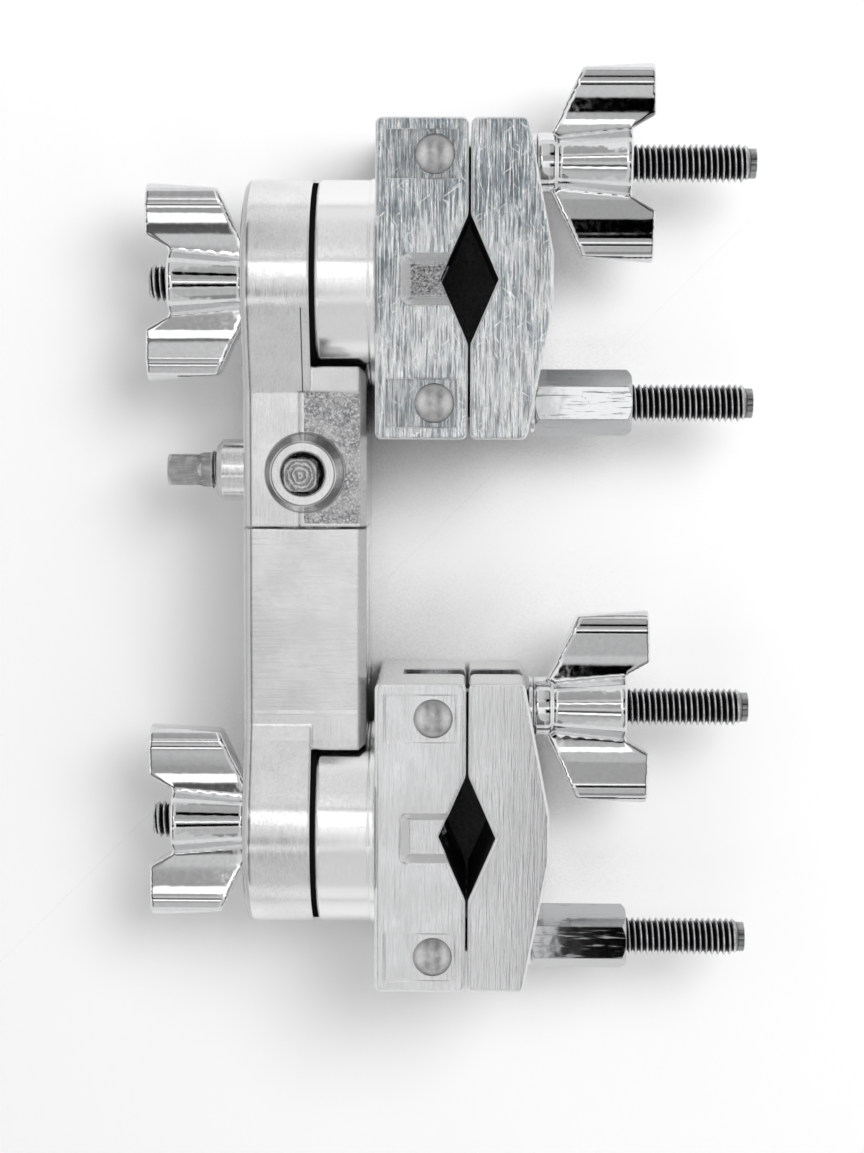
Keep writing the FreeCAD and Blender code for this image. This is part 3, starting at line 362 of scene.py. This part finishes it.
def cast_arm_finish():
    """Tumbled aluminium casting: bright satin, with a rough dark half beside the block's seam."""
    material, tree, shader = metal("satin_casting")
    place = object_place(tree)
    parts = parts_of(tree, place)
    half, seam, step, creases, flare = block_masks(tree, parts)
    aside = combine(tree, "ABSOLUTE", facing_of(tree)["X"])
    chamfer = times(tree, spread(tree, aside, *CHAMFER_SHADE_STARTS), spread(tree, aside, *CHAMFER_SHADE_ENDS))
    waves = noise(tree, place, scale=110, detail=3.0, roughness=0.5)
    grain = noise(tree, place, scale=2600, detail=4.0, roughness=0.7)
    pits = noise(tree, place, scale=2300, detail=4.0, roughness=0.7)
    clouds = noise(tree, place, scale=260, detail=3.0, roughness=0.6)
    upright = streaks(tree, across=2800, along=220)
    level = object_place(tree, (130, 2400, 2400))
    level = noise(tree, level, scale=1.0, detail=2.0, roughness=0.6)
    marks = blend(tree, level_band(tree, parts, LOWER_BLOCK), upright, level)

    colour = blend(tree, spread(tree, waves, *NOISE_MIDDLE), grey(*ARM_DARK), grey(*ARM_LIGHT))
    colour = blend(tree, spread(tree, marks, 0.48, 0.66, out_high=0.3), colour, grey(0.95))
    colour = blend(tree, spread(tree, marks, 0.42, 0.30, out_high=0.25), colour, grey(0.5))
    colour = blend(tree, spread(tree, grain, 0.60, 0.72, out_high=0.35), colour, grey(0.40))
    skin = blend(tree, spread(tree, pits, 0.44, 0.62), grey(*SKIN_DARK), grey(*SKIN_LIGHT))
    skin_share = times(tree, half, spread(tree, clouds, 0.35, 0.62, 0.95, 0.35))
    colour = blend(tree, skin_share, colour, skin)
    # Painted shade: the step beside the seam is darkened to stand for the shade of a slope.
    colour = blend(tree, times(tree, step, 0.2), colour, grey(0.15))
    # Painted shade: the boss's creases are darkened.
    colour = blend(tree, times(tree, creases, 0.6), colour, grey(DIRT_AND_SHADE))
    colour = blend(tree, seam, colour, grey(DIRT_AND_SHADE))
    # Painted highlight: a bright line and a paler band where the lower arm flares.
    painted_flare_highlight = times(tree, flare, spread(tree, waves, 0.35, 0.60, 0.9, 0.3))
    colour = blend(tree, painted_flare_highlight, colour, grey(0.99))
    colour = blend(tree, times(tree, near_edges(tree, 0.4 * MM), 0.4), colour, grey(RUBBED))
    # Painted shade: faces turned part way to the side are darkened.
    colour = blend(tree, times(tree, chamfer, 0.8), colour, grey(0.42))

    rough = spread(tree, combine(tree, "ADD", marks, grain), 0.7, 1.3, *ARM_ROUGHNESS)
    normal = rounded_edges(tree, 0.6 * MM)
    normal = bump(tree, waves, distance=0.10 * MM, strength=0.5, normal=normal)
    normal = bump(tree, marks, distance=0.015 * MM, strength=0.5, normal=normal)
    normal = bump(tree, grain, distance=0.008 * MM, strength=0.6, normal=normal)
    normal = bump(tree, pits, distance=0.06 * MM, strength=half, normal=normal)
    finish(tree, shader, colour, rough, normal)
    return material


def jaw_masks(tree):
    """Shares of a jaw.

    These are its flat front and back, what is sunk in them, the slopes of that, the drum, the V's
    walls and the faces that meet.
    """
    place = parts_of(tree, object_place(tree))
    level = combine(tree, "ABSOLUTE", facing_of(tree)["Z"])
    height = combine(tree, "ABSOLUTE", combine(tree, "SUBTRACT", place["Z"], ROD_AXIS.z))
    drum = spread(tree, place["X"], JAW_START, JAW_START - DRUM_EDGE)
    flat = times(tree, spread(tree, level, *FACE_FLAT), combine(tree, "SUBTRACT", 1.0, drum))
    sunk = times(tree, flat, spread(tree, height, SUNK_BELOW, SUNK_BELOW - SOFT_EDGE))
    slope = times(tree, sunk, spread(tree, level, *FACE_SLOPED))
    notch = combine(tree, "MAXIMUM", between(tree, place["Y"], NOTCH_UPPER, NOTCH_HEIGHT / 2),
                    between(tree, place["Y"], NOTCH_LOWER, NOTCH_HEIGHT / 2))
    notch = times(tree, notch, between(tree, place["X"], NOTCH_MIDDLE, NOTCH_DEPTH))
    notch = times(tree, notch, spread(tree, level, *FACE_UPRIGHT))
    meeting = times(tree, between(tree, place["X"], NOTCH_MIDDLE, MEETING_HALF),
                    spread(tree, level, *FACE_UPRIGHT))
    return flat, sunk, slope, drum, notch, meeting


def brushed_colour(tree, patches, broad, fine, grain, dark, light, worn):
    """A jaw's flat faces: mottled patches, brushed lines, a few scratches and spots."""
    colour = blend(tree, spread(tree, patches, 0.38, 0.62), grey(dark, 0.075 * worn + 0.01),
                   grey(light, 0.03 * worn + 0.01))
    colour = blend(tree, spread(tree, broad, 0.52, 0.62, out_high=0.1 + 0.05 * worn), colour,
                   grey(light + 0.12))
    colour = blend(tree, spread(tree, broad, 0.46, 0.38, out_high=0.25 * worn), colour,
                   grey(dark * 0.45, 0.03))
    colour = blend(tree, spread(tree, fine, 0.54, 0.58, out_high=0.15 + 0.6 * worn), colour,
                   grey(RUBBED))
    colour = blend(tree, spread(tree, fine, 0.45, 0.40, out_high=0.1 + 0.5 * worn), colour,
                   grey(dark * 0.25, 0.01))
    for turn, low in SCRATCHES:
        lines = streaks(tree, across=2800, along=200, turn=turn, detail=1.0)
        lines = spread(tree, lines, low, low + SCRATCH_EDGE)
        colour = blend(tree, times(tree, lines, 0.7 * worn), colour, grey(RUBBED))
    light_spots = spread(tree, grain, 0.62, 0.68, out_high=0.45 * worn)
    dark_spots = spread(tree, grain, 0.38, 0.32, out_high=0.45 * worn)
    colour = blend(tree, light_spots, colour, grey(RUBBED))
    return blend(tree, dark_spots, colour, grey(DIRT_AND_SHADE))


def cast_jaw_finish(name, dark, light, worn):
    """Brushed casting: short lines along the jaw, mottled patches and scratches by the wear."""
    material, tree, shader = metal(name)
    flat, sunk, slope, drum, notch, meeting = jaw_masks(tree)
    place = object_place(tree)
    along = parts_of(tree, place)["Y"]
    patches = noise(tree, place, scale=110, detail=4.0, roughness=0.6, distortion=0.5)
    grain = noise(tree, place, scale=2400, detail=4.0, roughness=0.75)
    fine = streaks(tree, across=3300, along=150)
    broad = streaks(tree, across=1300, along=60, turn=0.03)
    darker_up = spread(tree, along, NOTCH_UPPER - SHADE_REACH, NOTCH_UPPER + SHADE_REACH,
                       0.10, -0.08)
    patches = combine(tree, "ADD", patches, times(tree, darker_up, worn))
    colour = brushed_colour(tree, patches, broad, fine, grain, dark, light, worn)

    # Painted shade: sunk faces are darkened on the worn jaws.
    colour = blend(tree, times(tree, sunk, 0.30 * worn), colour, grey(dark * 0.4, 0.01))
    bottom = times(tree, sunk, between(tree, along, NOTCH_UPPER, POCKET_HALF))
    pits = noise(tree, place, scale=1900, detail=4.0, roughness=0.8)
    pits = blend(tree, spread(tree, pits, 0.40, 0.60), grey(0.04), grey(0.80))
    colour = blend(tree, times(tree, bottom, 0.8), colour, pits)
    # Painted light: the pocket's slopes are made nearly white so that they look lit.
    colour = blend(tree, slope, colour, grey(0.98))
    skin = blend(tree, spread(tree, grain, 0.4, 0.7), grey(0.82), grey(0.70))
    skin = blend(tree, drum, skin, grey(0.87))
    colour = blend(tree, flat, skin, colour)
    colour = blend(tree, times(tree, near_edges(tree, 0.35 * MM), 0.7), colour, grey(RUBBED))
    # Painted shade: the faces where the jaws meet are darkened so the gap between them reads dark.
    colour = blend(tree, times(tree, meeting, 0.8), colour, grey(*MEETING_SHADE_GREY))
    # Painted shade: the V notches' walls are near black.
    inside = blend(tree, spread(tree, fine, 0.4, 0.6), grey(*NOTCH_SHADE_DARK), grey(*NOTCH_SHADE_LIGHT))
    colour = blend(tree, notch, colour, inside)

    rough = spread(tree, combine(tree, "ADD", patches, fine), 0.75, 1.25, *JAW_ROUGHNESS)
    rough = blend(tree, drum, rough, spread(tree, fine, *NOISE_WIDE, *DRUM_ROUGHNESS))
    rough = blend(tree, times(tree, bottom, 0.6), rough, grey(0.5))
    rough = blend(tree, slope, rough, grey(0.9))
    rough = blend(tree, notch, rough, grey(0.5))
    marks = combine(tree, "ADD", times(tree, fine, 0.6), times(tree, broad, 0.4))
    depth = times(tree, flat, 0.12 + 0.78 * worn)
    normal = bump(tree, marks, distance=0.11 * MM, strength=depth,
                  normal=rounded_edges(tree, 0.5 * MM))
    normal = bump(tree, grain, distance=0.008 * MM, strength=0.2 + 0.3 * worn, normal=normal)
    finish(tree, shader, colour, rough, normal)
    return material


def chrome_finish():
    """Polished chrome plate over a casting that isn't quite flat."""
    material, tree, shader = metal("chrome_plate")
    place = object_place(tree)
    waves = noise(tree, place, scale=260, detail=2.0, roughness=0.5)
    smears = noise(tree, place, scale=900, detail=4.0, roughness=0.6)
    colour = blend(tree, spread(tree, smears, *NOISE_MIDDLE), grey(*CHROME_DARK),
                   grey(*CHROME_LIGHT))
    rough = spread(tree, smears, 0.35, 0.7, *CHROME_ROUGHNESS)
    normal = bump(tree, waves, distance=0.03 * MM, strength=0.4,
                  normal=rounded_edges(tree, 0.3 * MM))
    finish(tree, shader, colour, rough, normal)
    return material


def plated_nut_finish():
    """Flat plated faces with sparse pits and rubbed lines along the bolt."""
    material, tree, shader = metal("plated_hexagon")
    place = object_place(tree)
    waves = noise(tree, place, scale=200, detail=2.0, roughness=0.5)
    rubbed = object_place(tree, (130, 1900, 1900))
    rubbed = noise(tree, rubbed, scale=1.0, detail=3.0, roughness=0.6)
    pits = noise(tree, place, scale=1300, detail=4.0, roughness=0.7)
    pits = spread(tree, pits, 0.64, 0.70, out_high=0.8)
    colour = blend(tree, pits, grey(*NUT_GREY), grey(DIRT_AND_SHADE))
    rough = spread(tree, rubbed, 0.58, 0.68, *NUT_ROUGHNESS)
    normal = bump(tree, waves, distance=0.03 * MM, strength=0.5,
                  normal=rounded_edges(tree, 0.3 * MM))
    finish(tree, shader, colour, rough, normal)
    return material


def steel_finish(name, greys, roughness, edge, across=1500, along=1500):
    """Turned or rolled steel with fine marks."""
    material, tree, shader = metal(name)
    place = object_place(tree, (across, along, along))
    marks = noise(tree, place, scale=1.0, detail=3.0, roughness=0.65)
    patches = noise(tree, object_place(tree), scale=500, detail=4.0, roughness=0.6)
    dark, light = greys
    colour = blend(tree, spread(tree, patches, *NOISE_MIDDLE), grey(dark), grey(light))
    rough = spread(tree, marks, *NOISE_WIDE, *roughness)
    normal = bump(tree, marks, distance=0.008 * MM, strength=0.6,
                  normal=rounded_edges(tree, edge))
    finish(tree, shader, colour, rough, normal)
    return material


def rivet_finish():
    """Satin rivet heads, with painted shade darker round the foot."""
    material, tree, shader = metal("satin_rivet")
    patches = noise(tree, object_place(tree), scale=700, detail=4.0, roughness=0.65)
    level = combine(tree, "ABSOLUTE", facing_of(tree)["Z"])
    colour = blend(tree, spread(tree, patches, *NOISE_MIDDLE), grey(0.62), grey(0.84))
    # Painted shade: the dome darkens where it turns away, towards its foot.
    colour = blend(tree, spread(tree, level, 0.97, 0.60, out_high=0.85), colour, grey(0.12))
    rough = spread(tree, patches, *NOISE_WIDE, *RIVET_ROUGHNESS)
    normal = bump(tree, patches, distance=0.03 * MM, strength=0.5,
                  normal=rounded_edges(tree, 0.2 * MM))
    finish(tree, shader, colour, rough, normal)
    return material


def key_end_finish():
    """The front key's end: turned rings round its axis on worn steel."""
    material, tree, shader = metal("turned_key_end")
    place = object_place(tree)
    radius = away(tree, parts_of(tree, place), BOSS_X, BOSS_Y)
    wander = noise(tree, place, scale=500, detail=3.0, roughness=0.6)
    wander = times(tree, wander, RING_WANDER)
    rings = combine(tree, "SINE", times(tree, combine(tree, "ADD", radius, wander), RING_RATE))
    patches = noise(tree, place, scale=700, detail=4.0, roughness=0.65)
    colour = blend(tree, spread(tree, rings, -1.0, 1.0), grey(0.30), grey(0.62))
    colour = blend(tree, spread(tree, patches, 0.55, 0.70, out_high=0.7), colour, grey(0.85))
    # Painted shade: the key's rim, down in the boss's mouth, is near black.
    colour = blend(tree, spread(tree, radius, *KEY_RIM_SHADE), colour, grey(0.06))
    rough = spread(tree, patches, *NOISE_WIDE, *KEY_END_ROUGHNESS)
    normal = bump(tree, rings, distance=0.03 * MM, strength=0.6,
                  normal=rounded_edges(tree, 0.8 * MM))
    finish(tree, shader, colour, rough, normal)
    return material


def thread_finish():
    """Rolled thread: grooves painted black as shade, grey crests with fine marks, and dark ends
    that face -X.
    """
    material, tree, shader = metal("rolled_thread")
    place = object_place(tree)
    marks = noise(tree, place, scale=1500, detail=3.0, roughness=0.65)
    patches = noise(tree, place, scale=500, detail=4.0, roughness=0.6)
    geometry = tree.nodes.new("ShaderNodeNewGeometry")
    crest = spread(tree, geometry.outputs["Pointiness"], 0.48, 0.56)
    light = blend(tree, spread(tree, patches, *NOISE_MIDDLE), grey(*CREST_DARK), grey(*CREST_LIGHT))
    # Painted shade: the grooves between the crests are near black.
    colour = blend(tree, crest, grey(0.005), light)
    colour = blend(tree, spread(tree, facing_of(tree)["X"], -0.8, -0.9), colour, grey(0.04))
    rough = spread(tree, marks, *NOISE_WIDE, *THREAD_ROUGHNESS)
    normal = bump(tree, marks, distance=0.008 * MM, strength=0.6,
                  normal=rounded_edges(tree, 0.08 * MM))
    finish(tree, shader, colour, rough, normal)
    return material


def friction_finish():
    """Dark fibre disc."""
    material, tree, shader = metal("fibre_disc", 0.0)
    fibres = noise(tree, object_place(tree), scale=3000, detail=4.0, roughness=0.7)
    colour = blend(tree, fibres, grey(0.003), grey(0.010))
    rough = spread(tree, fibres, *NOISE_WIDE, *FIBRE_ROUGHNESS)
    shader.inputs["Specular IOR Level"].default_value = 0.0
    finish(tree, shader, colour, rough, bump(tree, fibres, distance=0.02 * MM))
    return material


def thread_surface(mesh, start, end, tip):
    """Add a right-handed thread along +X to a mesh, its grid following the helix.

    Where a tip has a length, the thread narrows over it to a closed flat end.
    """
    rows = len(THREAD_PROFILE)
    turns = math.ceil((end - start) / PITCH) + 1
    angles = [2 * math.pi * step / THREAD_SIDES for step in range(THREAD_SIDES)]
    grid = []
    for turn in range(-1, turns + 1):
        for share, height in THREAD_PROFILE:
            ring = []
            for step, angle in enumerate(angles):
                x = start + (turn + share + step / THREAD_SIDES) * PITCH
                radius = THREAD_ROOT + (THREAD_RADIUS - THREAD_ROOT) * height
                if tip is not None:
                    radius = min(radius, TIP_RADIUS + max(end - tip - x, 0.0) * TIP_SLOPE)
                x = min(max(x, start), end)
                place = (x, radius * math.cos(angle), radius * math.sin(angle))
                ring.append(mesh.verts.new(place))
            grid.append(ring)
    for row in range(len(grid) - 1):
        for step in range(THREAD_SIDES):
            after = (step + 1) % THREAD_SIDES
            skip = rows if after == 0 else 0
            if row + 1 + skip >= len(grid):
                continue
            face = (grid[row][step], grid[row + skip][after], grid[row + 1 + skip][after],
                    grid[row + 1][step])
            if len({tuple(vert.co) for vert in face}) > 2:
                mesh.faces.new(face)
    if tip is not None:
        rim = [(end, TIP_RADIUS * math.cos(angle), TIP_RADIUS * math.sin(angle))
               for angle in angles]
        mesh.faces.new([mesh.verts.new(place) for place in rim])


def cut_off(mesh, x, **side):
    """Clear one side of a mesh at a distance along X."""
    everything = mesh.verts[:] + mesh.edges[:] + mesh.faces[:]
    bmesh.ops.bisect_plane(mesh, geom=everything, plane_co=(x, 0, 0), plane_no=(1, 0, 0), **side)


def threaded_piece(node, body, slot, axis, start, end, tip=None):
    """A copy of a CAD bolt with a real thread between two distances along its axis.

    Without a tip, the CAD bolt goes on beyond the thread.
    """
    mesh = bmesh.new()
    mesh.from_mesh(FRAME["nodes"][node].data)
    turn = axis.to_track_quat("X", "Z").to_matrix().to_4x4()
    place = Matrix.Translation(axis_point(node)) @ turn
    mesh.transform(place.inverted())
    beyond = mesh.copy()
    cut_off(mesh, start, clear_outer=True)
    if tip is None:
        cut_off(beyond, end, clear_inner=True)
        rest = bpy.data.meshes.new("rest")
        beyond.to_mesh(rest)
        mesh.from_mesh(rest)
        bpy.data.meshes.remove(rest)
    beyond.free()
    for face in mesh.faces:
        face.smooth = False
    before = len(mesh.faces)
    thread_surface(mesh, start, end, tip)
    mesh.faces.ensure_lookup_table()
    for face in mesh.faces[before:]:
        face.smooth = True
    bmesh.ops.remove_doubles(mesh, verts=mesh.verts[:], dist=WELD_DISTANCE)
    mesh.transform(place)
    data = bpy.data.meshes.new(f"{node}_threaded")
    mesh.to_mesh(data)
    mesh.free()
    piece = bpy.data.objects.new(f"{node}_threaded", data)
    bpy.context.scene.collection.objects.link(piece)
    data.materials.append(FINISHES[slot])
    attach(piece, body)
    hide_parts(node)


def soft_copy(node, body, slot):
    """A copy of a CAD casting with its sharp edges and corners melted a little."""
    piece = bpy.data.objects.new(f"{node}_casting", FRAME["nodes"][node].data.copy())
    bpy.context.scene.collection.objects.link(piece)
    remesh = piece.modifiers.new("remesh", "REMESH")
    remesh.mode = "VOXEL"
    remesh.voxel_size = MELT_VOXEL
    remesh.use_smooth_shade = True
    smooth = piece.modifiers.new("smooth", "SMOOTH")
    smooth.factor = MELT_FACTOR
    smooth.iterations = MELT_ROUNDS
    graph = bpy.context.evaluated_depsgraph_get()
    data = bpy.data.meshes.new_from_object(piece.evaluated_get(graph))
    piece.modifiers.clear()
    piece.data = data
    data.materials.clear()
    data.materials.append(FINISHES[slot])
    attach(piece, body)
    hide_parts(node)


def axis_point(node):
    """Where the axis along X through the middle of a node's box crosses X = 0."""
    low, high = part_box(node)
    middle = (low + high) / 2
    middle.x = 0.0
    return middle


def make_threads():
    """Threads on the four swing bolts, the two drum bolts and the side key bolt."""
    right, left = Vector((1, 0, 0)), Vector((-1, 0, 0))
    for side in ("upper", "lower"):
        for kind in ("wing", "hex"):
            node = f"{side}_{kind}_bolt"
            low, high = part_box(node)
            start = low.x + EYE_RADIUS + BLANK_LENGTH
            threaded_piece(node, node, "bolt_steel", right, start, high.x, TIP_LENGTH)
        node = f"{side}_drum_bolt"
        end = -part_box(node)[0].x
        threaded_piece(node, f"{side}_fixed_jaw", "bolt_steel", left, end - DRUM_THREAD, end,
                       DRUM_TIP_LENGTH)
    end = -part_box("side_key_bolt")[0].x - KEY_END
    threaded_piece("side_key_bolt", "side_key_bolt", "key_steel", left, end - KEY_THREAD, end)


def paint_nodes():
    """Give every CAD node the finish of its slot.

    The upper jaws get a more worn and darker one, whose darker greys are partly painted shade, and
    the hexagon nuts and the front key get their own.
    """
    slots = {row["node"]: row["material_slot"] for row in FRAME["record"]["subparts"]}
    for name, node in FRAME["nodes"].items():
        finish_name = slots[name]
        if finish_name == "cast_jaw" and name.startswith("upper"):
            finish_name = "worn_shaded_jaw"
        if name.endswith("hex_nut"):
            finish_name = "plated_nut"
        if name == "front_key_bolt":
            finish_name = "key_end"
        node.data.materials.clear()
        node.data.materials.append(FINISHES[finish_name])


def make_floor():
    """A plain white sheet under the clamp, dark where hardly any light gets in."""
    bpy.ops.mesh.primitive_plane_add(size=FLOOR_SIZE, location=(0, 0, -FLOOR_DROP))
    floor = bpy.context.object
    floor.name = "floor"
    material, tree, shader = metal("white_sheet", 0.0)
    shelter = tree.nodes.new("ShaderNodeAmbientOcclusion")
    shelter.samples = SHELTER_SAMPLES
    shelter.inputs["Distance"].default_value = SHELTER_REACH
    opening = spread(tree, shelter.outputs["AO"], *SHELTER_RANGE)
    tree.links.new(blend(tree, opening, grey(0.02), grey(0.96)), shader.inputs["Base Color"])
    shader.inputs["Roughness"].default_value = 0.9
    shader.inputs["Specular IOR Level"].default_value = 0.0
    floor.data.materials.append(material)


def sine(degrees):
    """The sine of an angle in degrees."""
    return math.sin(math.radians(degrees))


def strip_lights(tree, height, stops):
    """Strips of light along X: a colour ramp over the direction's Y part."""
    ramp = tree.nodes.new("ShaderNodeValToRGB")
    tree.links.new(height, ramp.inputs["Fac"])
    while len(ramp.color_ramp.elements) < len(stops):
        ramp.color_ramp.elements.new(0.5)
    for element, (angle, level) in zip(ramp.color_ramp.elements, stops):
        element.position = (sine(angle) + 1) / 2
        element.color = grey(level)
    return ramp.outputs["Color"]


def make_world():
    """A grey studio: strips above, dark flanks, bright side walls, plain pale walls lower down."""
    world = bpy.data.worlds.new("studio")
    bpy.context.scene.world = world
    world.use_nodes = True
    tree = world.node_tree
    parts = parts_of(tree, tree.nodes.new("ShaderNodeTexCoord").outputs["Generated"])
    height = spread(tree, parts["Y"], -1.0, 1.0)
    colour = strip_lights(tree, height, FIRST_STRIPS)
    for angle, stops in FURTHER_STRIPS:
        edge = sine(angle)
        share = spread(tree, parts["X"], edge - STRIP_BLUR, edge + STRIP_BLUR)
        colour = blend(tree, share, colour, strip_lights(tree, height, stops))
    aside = combine(tree, "ABSOLUTE", parts["X"])
    flank = between(tree, aside, sine(FLANK_ANGLE), FLANK_HALF)
    colour = blend(tree, times(tree, flank, FLANK_SHARE), colour, grey(FLANK_LEVEL))
    walls = spread(tree, aside, *(sine(angle) for angle in WALL_ANGLES))
    colour = blend(tree, walls, colour, grey(WALL_LEVEL))
    low = spread(tree, combine(tree, "ABSOLUTE", parts["Z"]), *HORIZON_RANGE)
    colour = blend(tree, low, colour, grey(HORIZON_LEVEL))
    background = tree.nodes["Background"]
    tree.links.new(colour, background.inputs["Color"])
    background.inputs["Strength"].default_value = 1.0


def make_lamp():
    """A square area light that points at the middle of the clamp and isn't seen in the metal."""
    data = bpy.data.lights.new("key_light", "AREA")
    data.energy = LAMP_ENERGY
    data.size = LAMP_SIZE
    light = bpy.data.objects.new("key_light", data)
    bpy.context.scene.collection.objects.link(light)
    light.location = LAMP_PLACE
    beam = Vector(LAMP_AIM) - light.location
    light.rotation_euler = beam.to_track_quat("-Z", "Y").to_euler()
    light.visible_glossy = False


def make_camera():
    """The photograph's camera, nearly straight above the clamp."""
    data = bpy.data.cameras.new("camera")
    data.sensor_width = SENSOR
    data.lens = SENSOR * FOCAL_SHARE
    camera = bpy.data.objects.new("camera", data)
    bpy.context.scene.collection.objects.link(camera)
    turn = (Matrix.Rotation(TURNS[2], 4, "Z") @ Matrix.Rotation(TURNS[1], 4, "Y")
            @ Matrix.Rotation(TURNS[0], 4, "X"))
    aim = Matrix.Translation(ROD_AXIS + AIM)
    camera.matrix_world = aim @ turn @ Matrix.Translation((0, 0, DISTANCE))
    bpy.context.scene.camera = camera


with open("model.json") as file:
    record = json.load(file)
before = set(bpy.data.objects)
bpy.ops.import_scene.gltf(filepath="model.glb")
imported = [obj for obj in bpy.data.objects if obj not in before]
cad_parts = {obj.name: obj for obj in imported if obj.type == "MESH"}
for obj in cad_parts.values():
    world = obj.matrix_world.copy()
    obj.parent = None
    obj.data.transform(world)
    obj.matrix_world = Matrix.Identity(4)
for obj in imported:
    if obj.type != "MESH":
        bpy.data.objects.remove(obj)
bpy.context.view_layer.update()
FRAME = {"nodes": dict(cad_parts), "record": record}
bpy.context.scene.view_settings.view_transform = "Standard"

FINISHES = {
    "cast_arm": cast_arm_finish(),
    "cast_jaw": cast_jaw_finish("ground_casting", dark=0.77, light=0.82, worn=0.06),
    # The upper jaws' darker greys are partly real wear and partly painted shade.
    "worn_shaded_jaw": cast_jaw_finish("worn_shaded_casting", dark=0.36, light=0.70, worn=1.0),
    "chrome_nut": chrome_finish(),
    "plated_nut": plated_nut_finish(),
    "bolt_steel": thread_finish(),
    "rivet_steel": rivet_finish(),
    "key_steel": steel_finish("key_square", greys=(0.34, 0.50), roughness=(0.22, 0.4),
                              edge=0.3 * MM, across=300, along=3000),
    "key_end": key_end_finish(),
    "rod_steel": steel_finish("ground_rod", greys=(0.5, 0.6), roughness=(0.2, 0.35),
                              edge=0.2 * MM),
    "friction": friction_finish(),
}
paint_nodes()
make_threads()
for side in ("upper", "lower"):
    for kind in ("wing", "drum"):
        soft_copy(f"{side}_{kind}_nut", f"{side}_{kind}_nut", "chrome_nut")
make_floor()
make_world()
make_lamp()
make_camera()
